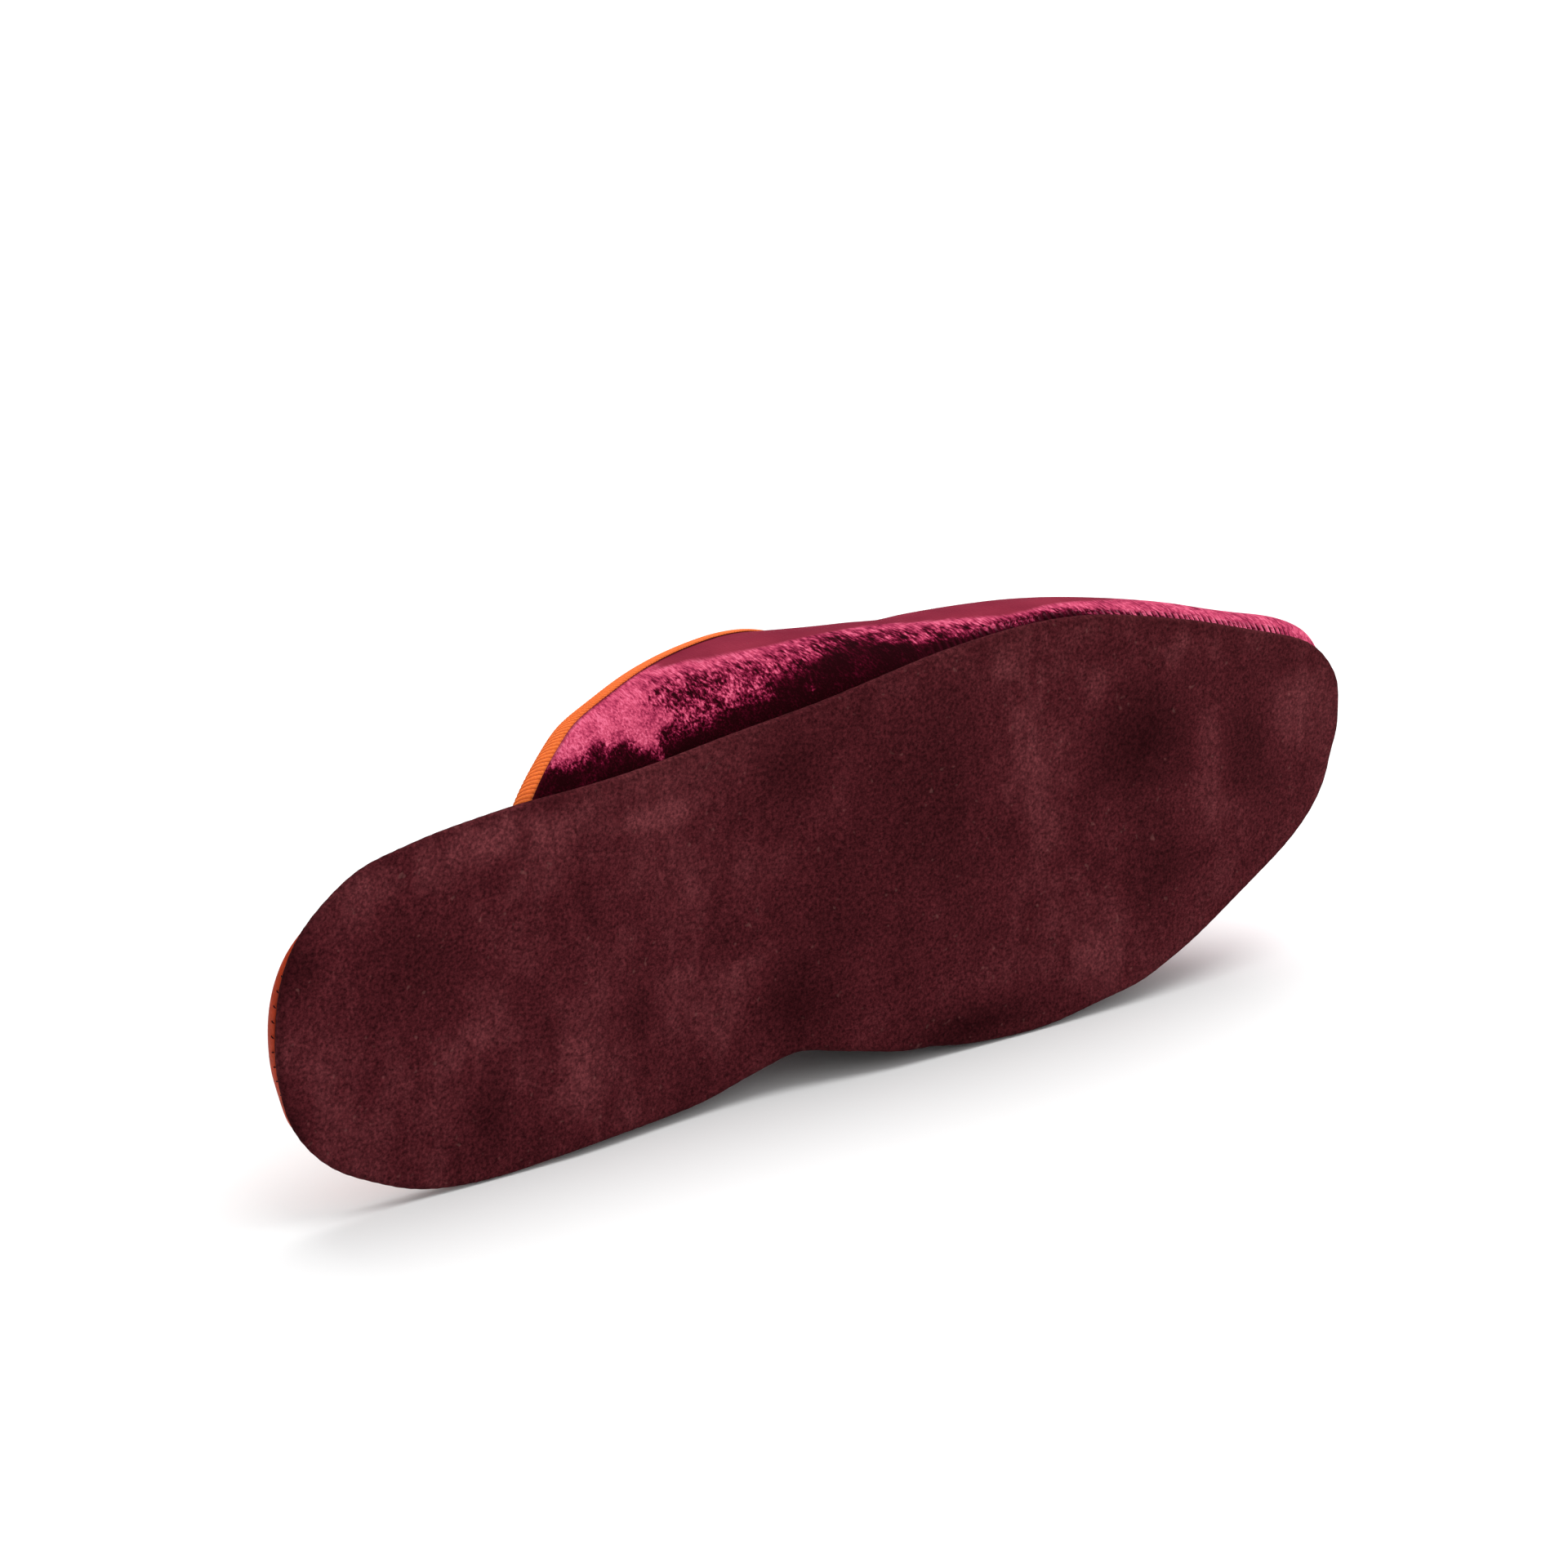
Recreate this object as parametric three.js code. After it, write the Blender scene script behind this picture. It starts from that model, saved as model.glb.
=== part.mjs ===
import * as THREE from 'three';
import { mergeVertices } from 'three/addons/utils/BufferGeometryUtils.js';

// Babouche slipper for the left foot, lying on its outer side. Sizes in millimetres.
// The toe points to +X, the sole faces -Y, the foot's height runs along +Y, the inner side is up at +Z.

// Sole: length, thickness, arch under the waist, spring under the toe, rounding of the two ends
const SOLE_LENGTH = 256;
const SOLE_THICK = 2;
const SOLE_TREAD_ROLL = 1.0;
const SOLE_TOP_ROLL = 0.6;
const ARCH_RISE = 3;
const ARCH_STATION = 0.4;
const ARCH_REACH = 0.16;
const TOE_SPRING = 5;
const SPRING_STATION = 0.74;
const HEEL_ROUND = 56;
const TOE_ROUND = 89;
const ROUND_POWER = 2.2;

// Sole outline: station along the length, centre line above the floor, half width before the ends are rounded
const SOLE_ROWS = [
  { station: 0.0, centre: 36.3, half: 38.0 },
  { station: 0.1, centre: 35.0, half: 36.4 },
  { station: 0.22, centre: 35.9, half: 35.5 },
  { station: 0.34, centre: 37.2, half: 35.5 },
  { station: 0.46, centre: 41.8, half: 35.0 },
  { station: 0.58, centre: 42.4, half: 40.6 },
  { station: 0.7, centre: 42.6, half: 42.3 },
  { station: 0.82, centre: 43.4, half: 39.3 },
  { station: 0.92, centre: 46.1, half: 36.4 },
  { station: 1.0, centre: 49.2, half: 40.1 },
];

// Upper: wall, distance of its seam from the sole edge, roundness of its sections, tuck above the seam
const WALL = 1.8;
const SEAM_INSET = 1.3;
const SECTION_POWER = 2.4;
const TUCK_HEIGHT = 5.5;
const NOSE_STATION = 0.88;
const NOSE_POWER = 2.3;
const NOSE_FADE = 12;

// Upper sections: ridge height over the seam, bulge past the seam on the inner and outer side, shift of the ridge
const UPPER_ROWS = [
  { station: 0.18, ridge: 41, inner: 11.1, outer: 0.0, shift: 0.0 },
  { station: 0.34, ridge: 55.5, inner: 13.4, outer: 1.5, shift: 1.0 },
  { station: 0.46, ridge: 64.5, inner: 9.9, outer: 3.5, shift: 1.5 },
  { station: 0.58, ridge: 52, inner: 3.7, outer: 4.5, shift: 2.0 },
  { station: 0.7, ridge: 43, inner: 2.0, outer: 4.5, shift: 2.0 },
  { station: 0.82, ridge: 34, inner: 3.1, outer: 3.5, shift: 2.0 },
  { station: 0.92, ridge: 27, inner: 4.2, outer: 3.0, shift: 1.5 },
  { station: 1.0, ridge: 22, inner: 8.0, outer: 2.5, shift: 1.0 },
];

// Collar seen from the side: an arc from the sole seam up to the throat
const COLLAR_START = new THREE.Vector2(54.1, 2.3);
const COLLAR_THROAT = new THREE.Vector2(158.9, 50);
const COLLAR_BOW = 1.6;
const COLLAR_SEARCH = { rear: 0.05, front: 0.8, halvings: 40 };

// Collar binding: ribbon folded over the collar edge
const RIBBON_WIDTH = 1.4;
const RIBBON_THICK = 0.7;

// Insole: padded, its edge set in from the sole edge behind the collar, inside the wall in front of it
const INSOLE_EDGE = 2.5;
const INSOLE_CROWN = 1.5;
const INSOLE_ROLL = 0.5;
const INSOLE_REAR_INSET = 2.1;
const RIBBON_ZONE = { from: 42, full: 50, last: 66, to: 76 };

// Meeting surfaces
const GAP = 0.3;
const FLOOR = 0;

// Facets
const TURN_STEPS = 44;
const TURN_EASE = 0.6;
const UPPER_STEPS = 25;
const PLATE_STEPS = 44;
const ACROSS_STEPS = 8;
const NORMAL_STEP = 1e-3;
const MERGE = 1e-4;

// A short table read as smooth curves: one value per column at a station
function curvesOf(rows, columns) {
  const stations = rows.map((row) => row.station);
  const values = rows.flatMap((row) => columns.map((column) => row[column]));
  const curves = new THREE.CubicInterpolant(stations, values, columns.length);
  return (station) => {
    const found = curves.evaluate(station);
    return Object.fromEntries(columns.map((column, i) => [column, found[i]]));
  };
}
const soleAt = curvesOf(SOLE_ROWS, ['centre', 'half']);
const upperAt = curvesOf(UPPER_ROWS, ['ridge', 'inner', 'outer', 'shift']);

// Share of the width left where an end is rounded off
function roundedEnd(distance, reach) {
  const rest = THREE.MathUtils.clamp(1 - distance / reach, 0, 1);
  return (1 - rest ** ROUND_POWER) ** (1 / ROUND_POWER);
}

// Height of the tread over its flat plane: the arch, then the toe spring
function treadHeight(x) {
  const station = x / SOLE_LENGTH;
  const arch = Math.max(0, 1 - ((station - ARCH_STATION) / ARCH_REACH) ** 2) ** 2;
  const spring = Math.max(0, (station - SPRING_STATION) / (1 - SPRING_STATION)) ** 2;
  return ARCH_RISE * arch + TOE_SPRING * spring;
}

// Sole outline in plan at an angle: heel 0, inner side up to the toe at pi, outer side below zero
function outlineAt(angle) {
  const x = (SOLE_LENGTH / 2) * (1 - Math.cos(angle));
  const { centre, half } = soleAt(x / SOLE_LENGTH);
  const width = half * roundedEnd(x, HEEL_ROUND) * roundedEnd(SOLE_LENGTH - x, TOE_ROUND);
  return new THREE.Vector2(x, centre + width * Math.sign(Math.sin(angle)));
}

// Point of the outline moved inwards, with its outward normal; side is +1 for the inner side, -1 for the outer
function rimAt(station, side, inset) {
  const angle = side * Math.acos(1 - 2 * station);
  const along = outlineAt(angle + NORMAL_STEP).sub(outlineAt(angle - NORMAL_STEP)).normalize();
  const normal = new THREE.Vector2(-along.y, along.x);
  return { point: outlineAt(angle).addScaledVector(normal, -inset), normal };
}

// The last: a point at a station, turned from the outer seam over the ridge to the inner seam, moved out by an offset
function lastAt(station, turn, offset) {
  const { ridge, inner, outer, shift } = upperAt(station);
  const outerRim = rimAt(station, -1, SEAM_INSET - offset);
  const innerRim = rimAt(station, 1, SEAM_INSET - offset);
  const across = Math.sign(Math.cos(turn)) * Math.abs(Math.cos(turn)) ** (2 / SECTION_POWER);
  const rise = Math.abs(Math.sin(turn)) ** (2 / SECTION_POWER);
  const nose = THREE.MathUtils.clamp((station - NOSE_STATION) / (1 - NOSE_STATION), 0, 1);
  const height = (ridge + offset) * (1 - nose ** NOSE_POWER) ** (1 / NOSE_POWER) * rise;
  const share = (1 - across) / 2;
  const tuck = (1 - Math.exp(-height / TUCK_HEIGHT)) * (1 - nose ** NOSE_FADE);
  const plan = outerRim.point.clone().lerp(innerRim.point, share);
  plan.addScaledVector(outerRim.normal, outer * tuck * (1 - share));
  plan.addScaledVector(innerRim.normal, inner * tuck * share);
  const sideways = plan.y + shift * rise * (1 - nose ** 2);
  const lowest = FLOOR + Math.max(0, -offset);
  const seam = treadHeight(plan.x) + SOLE_THICK + GAP;
  return new THREE.Vector3(plan.x, seam + height, Math.max(sideways, lowest));
}

// Centre and radius of the collar arc
const collarChord = COLLAR_THROAT.clone().sub(COLLAR_START);
const collarRadius = (collarChord.length() ** 2 / 4 + COLLAR_BOW ** 2) / (2 * COLLAR_BOW);
const collarFacing = new THREE.Vector2(collarChord.y, -collarChord.x).normalize();
const collarCentre = COLLAR_START.clone().lerp(COLLAR_THROAT, 0.5);
collarCentre.addScaledVector(collarFacing, collarRadius - COLLAR_BOW);

// Station where the last meets the collar arc moved forward by a reach
function collarStation(turn, reach) {
  let { rear, front } = COLLAR_SEARCH;
  for (let i = 0; i < COLLAR_SEARCH.halvings; i += 1) {
    const middle = (rear + front) / 2;
    const point = lastAt(middle, turn, 0);
    const distance = Math.hypot(point.x - collarCentre.x, point.y - collarCentre.y);
    if (distance > collarRadius - reach) {
      rear = middle;
    } else {
      front = middle;
    }
  }
  return front;
}

// Turns from the outer seam to the inner seam, closer together near the seams
const turns = Array.from({ length: TURN_STEPS + 1 }, (_, j) => {
  const share = j / TURN_STEPS;
  return Math.PI * (share - (TURN_EASE * Math.sin(2 * Math.PI * share)) / (2 * Math.PI));
});

// Closed surface through rings of equal count; a ring that isn't a point or line is closed by a strip
function loft(rings, closedStart, closedEnd) {
  const count = rings[0].length;
  const index = [];
  for (let i = 0; i + 1 < rings.length; i += 1) {
    for (let k = 0; k < count; k += 1) {
      const a = i * count + k;
      const b = i * count + ((k + 1) % count);
      index.push(a, b, b + count, a, b + count, a + count);
    }
  }
  const last = (rings.length - 1) * count;
  for (let k = 0; k + 1 < count / 2; k += 1) {
    const m = count - 1 - k;
    if (closedStart) {
      index.push(k, m, m - 1, k, m - 1, k + 1);
    }
    if (closedEnd) {
      index.push(last + k, last + m - 1, last + m, last + k, last + k + 1, last + m - 1);
    }
  }
  const geometry = new THREE.BufferGeometry();
  const points = rings.flat().flatMap((point) => point.toArray());
  geometry.setAttribute('position', new THREE.Float32BufferAttribute(points, 3));
  geometry.setIndex(index);
  const merged = mergeVertices(geometry, MERGE);
  const kept = [];
  for (let i = 0; i < merged.index.count; i += 3) {
    const [a, b, c] = [0, 1, 2].map((n) => merged.index.getX(i + n));
    if (a !== b && b !== c && c !== a) {
      kept.push(a, b, c);
    }
  }
  merged.setIndex(kept);
  return merged;
}

// Upper: rings from the collar to the toe, each out along the outside and back along the inside
function upperGeometry() {
  const lines = turns.map((turn) => {
    const start = [0, RIBBON_WIDTH / 2, RIBBON_WIDTH + GAP].map((reach) => collarStation(turn, reach));
    const rear = start[start.length - 1];
    const rest = Array.from({ length: UPPER_STEPS }, (_, i) => {
      return rear + (1 - rear) * Math.sin((Math.PI / 2) * ((i + 1) / UPPER_STEPS));
    });
    return [...start, ...rest];
  });
  const rings = lines[0].map((_, i) => {
    const outside = turns.map((turn, j) => lastAt(lines[j][i], turn, 0));
    const inside = turns.map((turn, j) => lastAt(lines[j][i], turn, -WALL));
    return [...outside, ...inside.reverse()];
  });
  return loft(rings, true, false);
}

// Collar binding: rings from the outer seam over the throat to the inner seam, each round the folded ribbon
function bindingGeometry() {
  const face = GAP + RIBBON_THICK;
  const fold = -GAP - RIBBON_THICK;
  const around = [
    { reach: RIBBON_WIDTH, offset: face },
    { reach: RIBBON_WIDTH / 2, offset: face },
    { reach: -GAP, offset: face },
    { reach: fold, offset: -GAP },
    { reach: fold, offset: -WALL + GAP },
    { reach: -GAP, offset: -WALL - face },
    { reach: RIBBON_WIDTH / 2, offset: -WALL - face },
    { reach: RIBBON_WIDTH, offset: -WALL - face },
    { reach: RIBBON_WIDTH, offset: -WALL - GAP },
    { reach: RIBBON_WIDTH / 2, offset: -WALL - GAP },
    { reach: 0, offset: -WALL - GAP },
    { reach: -GAP, offset: -WALL },
    { reach: -GAP, offset: 0 },
    { reach: 0, offset: GAP },
    { reach: RIBBON_WIDTH / 2, offset: GAP },
    { reach: RIBBON_WIDTH, offset: GAP },
  ];
  const rings = turns.map((turn) => {
    return around.map(({ reach, offset }) => lastAt(collarStation(turn, reach), turn, offset));
  });
  return loft(rings, true, true);
}

// Plate that follows the sole: rings from heel to toe, each across the top and back across the underside
function plateGeometry(rimInset, underRoll, topRoll, lowest, edge, crown) {
  const across = Array.from({ length: ACROSS_STEPS + 1 }, (_, k) => (2 * k) / ACROSS_STEPS - 1);
  const rings = Array.from({ length: PLATE_STEPS + 1 }, (_, i) => {
    const station = (1 - Math.cos((Math.PI * i) / PLATE_STEPS)) / 2;
    const x = station * SOLE_LENGTH;
    const inset = rimInset(x);
    const rise = crown * roundedEnd(x, HEEL_ROUND) * roundedEnd(SOLE_LENGTH - x, TOE_ROUND);
    const pointAt = (share, roll, height) => {
      const outerRim = rimAt(station, -1, inset + roll).point;
      const innerRim = rimAt(station, 1, inset + roll).point;
      const plan = outerRim.lerp(innerRim, (1 + share) / 2);
      return new THREE.Vector3(plan.x, treadHeight(plan.x) + lowest + height, plan.y);
    };
    const top = across.map((share) => pointAt(share, topRoll, edge + rise * (1 - share ** 2)));
    const under = across.map((share) => pointAt(-share, underRoll, 0));
    return [...top, pointAt(1, 0, edge / 2), ...under, pointAt(-1, 0, edge / 2)];
  });
  return loft(rings, false, false);
}

// Insole edge: set in from the sole edge, inside the wall and further inside the ribbon's ends
function insoleInset(x) {
  const wall = SEAM_INSET + WALL + GAP;
  const ribbon = wall + GAP + RIBBON_THICK;
  const enter = THREE.MathUtils.smoothstep(x, RIBBON_ZONE.from, RIBBON_ZONE.full);
  const leave = THREE.MathUtils.smoothstep(x, RIBBON_ZONE.last, RIBBON_ZONE.to);
  return INSOLE_REAR_INSET + (ribbon - INSOLE_REAR_INSET) * enter - (ribbon - wall) * leave;
}

// Named pieces with their materials
function piece(name, geometry, color, roughness) {
  const material = new THREE.MeshStandardMaterial({ color, roughness, metalness: 0 });
  const mesh = new THREE.Mesh(geometry, material);
  mesh.name = name;
  return mesh;
}
const outsole = plateGeometry(() => 0, SOLE_TREAD_ROLL, SOLE_TOP_ROLL, 0, SOLE_THICK, 0);
const insole = plateGeometry(insoleInset, INSOLE_ROLL, INSOLE_ROLL, SOLE_THICK + GAP, INSOLE_EDGE, INSOLE_CROWN);
const slipper = new THREE.Group();
slipper.name = 'babouche_slipper';
slipper.add(piece('outsole', outsole, 0x4b1c22, 0.95));
slipper.add(piece('insole', insole, 0xb9562f, 0.6));
slipper.add(piece('upper', upperGeometry(), 0x8c1f3c, 0.85));
slipper.add(piece('collar_binding', bindingGeometry(), 0xf08840, 0.7));

// Origin under the middle of the whole slipper, on the floor
const extent = new THREE.Box3().setFromObject(slipper);
const middle = extent.getCenter(new THREE.Vector3());
slipper.children.forEach((mesh) => mesh.geometry.translate(-middle.x, -middle.y, -extent.min.z));

export default slipper;
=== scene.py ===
import math

import bmesh
import bpy
import numpy as np
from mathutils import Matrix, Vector


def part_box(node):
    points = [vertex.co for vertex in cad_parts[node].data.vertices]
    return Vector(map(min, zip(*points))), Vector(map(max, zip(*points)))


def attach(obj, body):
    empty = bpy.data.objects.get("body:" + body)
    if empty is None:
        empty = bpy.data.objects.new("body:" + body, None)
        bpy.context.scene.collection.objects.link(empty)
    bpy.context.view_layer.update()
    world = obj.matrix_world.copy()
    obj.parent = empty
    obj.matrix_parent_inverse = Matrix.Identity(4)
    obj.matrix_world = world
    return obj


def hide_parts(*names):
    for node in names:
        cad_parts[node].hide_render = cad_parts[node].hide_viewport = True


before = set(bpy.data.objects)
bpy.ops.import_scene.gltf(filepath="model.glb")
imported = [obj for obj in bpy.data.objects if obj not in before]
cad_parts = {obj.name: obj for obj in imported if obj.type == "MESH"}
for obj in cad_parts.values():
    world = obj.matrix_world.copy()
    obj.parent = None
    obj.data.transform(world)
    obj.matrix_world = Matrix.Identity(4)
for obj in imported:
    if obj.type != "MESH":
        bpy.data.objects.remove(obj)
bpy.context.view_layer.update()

# Camera at the photograph's angle, in degrees and millimetres from the heel end of the tread;
# how far it sees is in metres
CAMERA_SWING = 35.61
CAMERA_HEIGHT = 18.5
CAMERA_DISTANCE = 845.3
CAMERA_AIM = {"x": 111.22, "y": 0.0, "z": 64.06}
CAMERA_LENS = 103.76
CAMERA_REACH = 50.0

# Sole: the same sizes as the solids, in millimetres
SOLE_LENGTH = 256.0
SOLE_THICK = 2.0
SOLE_TREAD_ROLL = 1.0
SOLE_TOP_ROLL = 0.6
ARCH_RISE = 3.0
ARCH_STATION = 0.4
ARCH_REACH = 0.16
TOE_SPRING = 5.0
SPRING_STATION = 0.74
HEEL_ROUND = 56.0
TOE_ROUND = 89.0
ROUND_POWER = 2.2
SOLE_ROWS = [
    {"station": 0.0, "centre": 36.3, "half": 38.0},
    {"station": 0.1, "centre": 35.0, "half": 36.4},
    {"station": 0.22, "centre": 35.9, "half": 35.5},
    {"station": 0.34, "centre": 37.2, "half": 35.5},
    {"station": 0.46, "centre": 41.8, "half": 35.0},
    {"station": 0.58, "centre": 42.4, "half": 40.6},
    {"station": 0.7, "centre": 42.6, "half": 42.3},
    {"station": 0.82, "centre": 43.4, "half": 39.3},
    {"station": 0.92, "centre": 46.1, "half": 36.4},
    {"station": 1.0, "centre": 49.2, "half": 40.1},
]

# Upper: the same sizes as the solids
WALL = 1.8
SEAM_INSET = 1.3
SECTION_POWER = 2.4
TUCK_HEIGHT = 5.5
NOSE_STATION = 0.88
NOSE_POWER = 2.3
NOSE_FADE = 12
UPPER_ROWS = [
    {"station": 0.18, "ridge": 41.0, "inner": 11.1, "outer": 0.0, "shift": 0.0},
    {"station": 0.34, "ridge": 55.5, "inner": 13.4, "outer": 1.5, "shift": 1.0},
    {"station": 0.46, "ridge": 64.5, "inner": 9.9, "outer": 3.5, "shift": 1.5},
    {"station": 0.58, "ridge": 52.0, "inner": 3.7, "outer": 4.5, "shift": 2.0},
    {"station": 0.7, "ridge": 43.0, "inner": 2.0, "outer": 4.5, "shift": 2.0},
    {"station": 0.82, "ridge": 34.0, "inner": 3.1, "outer": 3.5, "shift": 2.0},
    {"station": 0.92, "ridge": 27.0, "inner": 4.2, "outer": 3.0, "shift": 1.5},
    {"station": 1.0, "ridge": 22.0, "inner": 8.0, "outer": 2.5, "shift": 1.0},
]
COLLAR_START = np.array([54.1, 2.3])
COLLAR_THROAT = np.array([158.9, 50.0])
COLLAR_BOW = 1.6
COLLAR_SEARCH = {"rear": 0.05, "front": 0.8, "halvings": 36}
RIBBON_WIDTH = 1.4
RIBBON_THICK = 0.7
GAP = 0.3

# Soft bumps of the collar line: height of each over the tread, its reach and how far it stands out
COLLAR_BUMPS = [
    {"y": 11.0, "reach": 3.2, "depth": 0.55},
    {"y": 26.5, "reach": 9.0, "depth": 0.75},
]

# Insole: the same sizes as the solids
INSOLE_EDGE = 2.5
INSOLE_CROWN = 1.5
INSOLE_UNDER_ROLL = 0.5
INSOLE_REAR_INSET = 2.1
RIBBON_ZONE = {"from": 42.0, "full": 50.0, "last": 66.0, "to": 76.0}

# Insole's edge as it shows round the heel: its rounder top, and how far it lies inside the sole's outline
# on the inner and the outer side
INSOLE_TOP_ROLL = 0.9
INSOLE_SIDE_INSET = 2.7
INSOLE_TURN = {"from": 3.0, "to": 12.0}
INSOLE_OUTER_INSET = 1.2
INSOLE_OUTER_TURN = {"from": 1.0, "full": 5.0, "last": 16.0, "to": 36.0}

# Painted light of the velvet's pile at each station, as heights over the seam: painted shade below the
# first, crushed and mottled between painted shade and sheen up to the second, painted sheen up to the third,
# painted grazing sheen above it
PILE_ROWS = [
    {"station": 0.21, "dark": 2.8, "crushed": 3.2, "bright": 26.0},
    {"station": 0.27, "dark": 2.3, "crushed": 2.8, "bright": 22.0},
    {"station": 0.31, "dark": 1.6, "crushed": 2.0, "bright": 20.0},
    {"station": 0.35, "dark": 1.4, "crushed": 2.1, "bright": 18.5},
    {"station": 0.361, "dark": 1.3, "crushed": 8.6, "bright": 18.0},
    {"station": 0.375, "dark": 1.6, "crushed": 10.2, "bright": 17.0},
    {"station": 0.42, "dark": 2.3, "crushed": 9.7, "bright": 14.8},
    {"station": 0.442, "dark": 2.8, "crushed": 10.0, "bright": 15.0},
    {"station": 0.457, "dark": 5.0, "crushed": 10.6, "bright": 15.3},
    {"station": 0.49, "dark": 6.2, "crushed": 12.0, "bright": 16.0},
    {"station": 0.52, "dark": 9.8, "crushed": 14.4, "bright": 16.8},
    {"station": 0.55, "dark": 9.4, "crushed": 14.0, "bright": 17.0},
    {"station": 0.57, "dark": 4.4, "crushed": 11.4, "bright": 16.2},
    {"station": 0.60, "dark": 2.6, "crushed": 8.8, "bright": 12.6},
    {"station": 0.62, "dark": 2.2, "crushed": 7.6, "bright": 10.2},
    {"station": 0.64, "dark": 1.7, "crushed": 6.0, "bright": 7.8},
    {"station": 0.66, "dark": 1.3, "crushed": 4.3, "bright": 5.8},
    {"station": 0.68, "dark": 1.5, "crushed": 4.2, "bright": 5.6},
    {"station": 0.70, "dark": 2.6, "crushed": 5.3, "bright": 6.8},
    {"station": 0.735, "dark": 0.9, "crushed": 4.0, "bright": 8.2},
    {"station": 0.78, "dark": 0.5, "crushed": 2.4, "bright": 10.0},
    {"station": 0.84, "dark": 0.4, "crushed": 0.9, "bright": 20.0},
    {"station": 1.0, "dark": 0.3, "crushed": 0.6, "bright": 26.0},
]
PILE_SOFTNESS = {"from": 0.55, "to": 1.45}
PILE_STRAY = {"station": 0.009, "along": 0.35, "up": 1.1}
PILE_LOWEST = 0.3
# Softness of the painted grazing sheen's lower edge, and how it softens towards the toe
GRAZING_SHEEN_SOFTNESS = 2.2
GRAZING_SHEEN_TOE = {"from": 0.72, "to": 0.86, "softness": 3.5}

# Heights over the floor between which the velvet comes out of the floor's shade
FLOOR_SHADE = {"full": 3.0, "gone": 26.0}

# Places where the pile's painted sheen and shade are changed: x along the sole, height over the seam, reach
# along and up, tone (above zero more painted sheen, below zero more painted shade)
PILE_PATCHES = [
    {"x": 73.6, "height": 3.0, "along": 2.4, "up": 0.9, "tone": -0.9},
    {"x": 79.6, "height": 2.4, "along": 2.4, "up": 0.7, "tone": -0.8},
    {"x": 225.0, "height": 6.0, "along": 34.0, "up": 14.0, "tone": -0.1},
    {"x": 97.0, "height": 3.6, "along": 4.5, "up": 1.2, "tone": 0.18},
    {"x": 98.0, "height": 7.5, "along": 8.0, "up": 3.0, "tone": -0.14},
    {"x": 107.5, "height": 5.0, "along": 5.0, "up": 1.4, "tone": 0.28},
    {"x": 121.6, "height": 8.6, "along": 5.0, "up": 1.3, "tone": 0.28},
    {"x": 122.4, "height": 2.3, "along": 0.9, "up": 0.9, "tone": 0.4},
    {"x": 148.5, "height": 5.4, "along": 2.2, "up": 1.5, "tone": 0.3},
    {"x": 165.0, "height": 2.9, "along": 4.0, "up": 0.9, "tone": 0.35},
]

# Soft troughs pressed into the velvet: x where each starts, reach across it, heights between which it runs,
# how far it leans back as it rises, and its depth; a negative depth is a ridge
VELVET_TROUGHS = [
    {"x": 126.0, "reach": 8.0, "low": 5.0, "high": 24.0, "lean": 0.4, "depth": 0.3},
    {"x": 157.0, "reach": 5.0, "low": 12.0, "high": 60.0, "lean": 0.3, "depth": 0.5},
    {"x": 214.0, "reach": 5.0, "low": 8.0, "high": 50.0, "lean": 0.3, "depth": 0.12},
    {"x": 254.0, "reach": 4.5, "low": 0.0, "high": 30.0, "lean": 0.0, "depth": -0.7},
]
TROUGH_FADE = 6.0

# Gathers of the velvet along the toe seam: pitch, rise, lean and stray of the tufts, and where they stand
GATHER_PITCH = 1.6
GATHER_RISE = 0.45
GATHER_LEAN = 0.3
GATHER_STRAY = {"length": 2.3, "reach": 0.45}
GATHER_HEIGHT = {"full": 2.6, "gone": 4.0}
GATHER_ZONE = {"from": 138.0, "full": 168.0, "last": 236.0, "to": 248.0}

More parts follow.
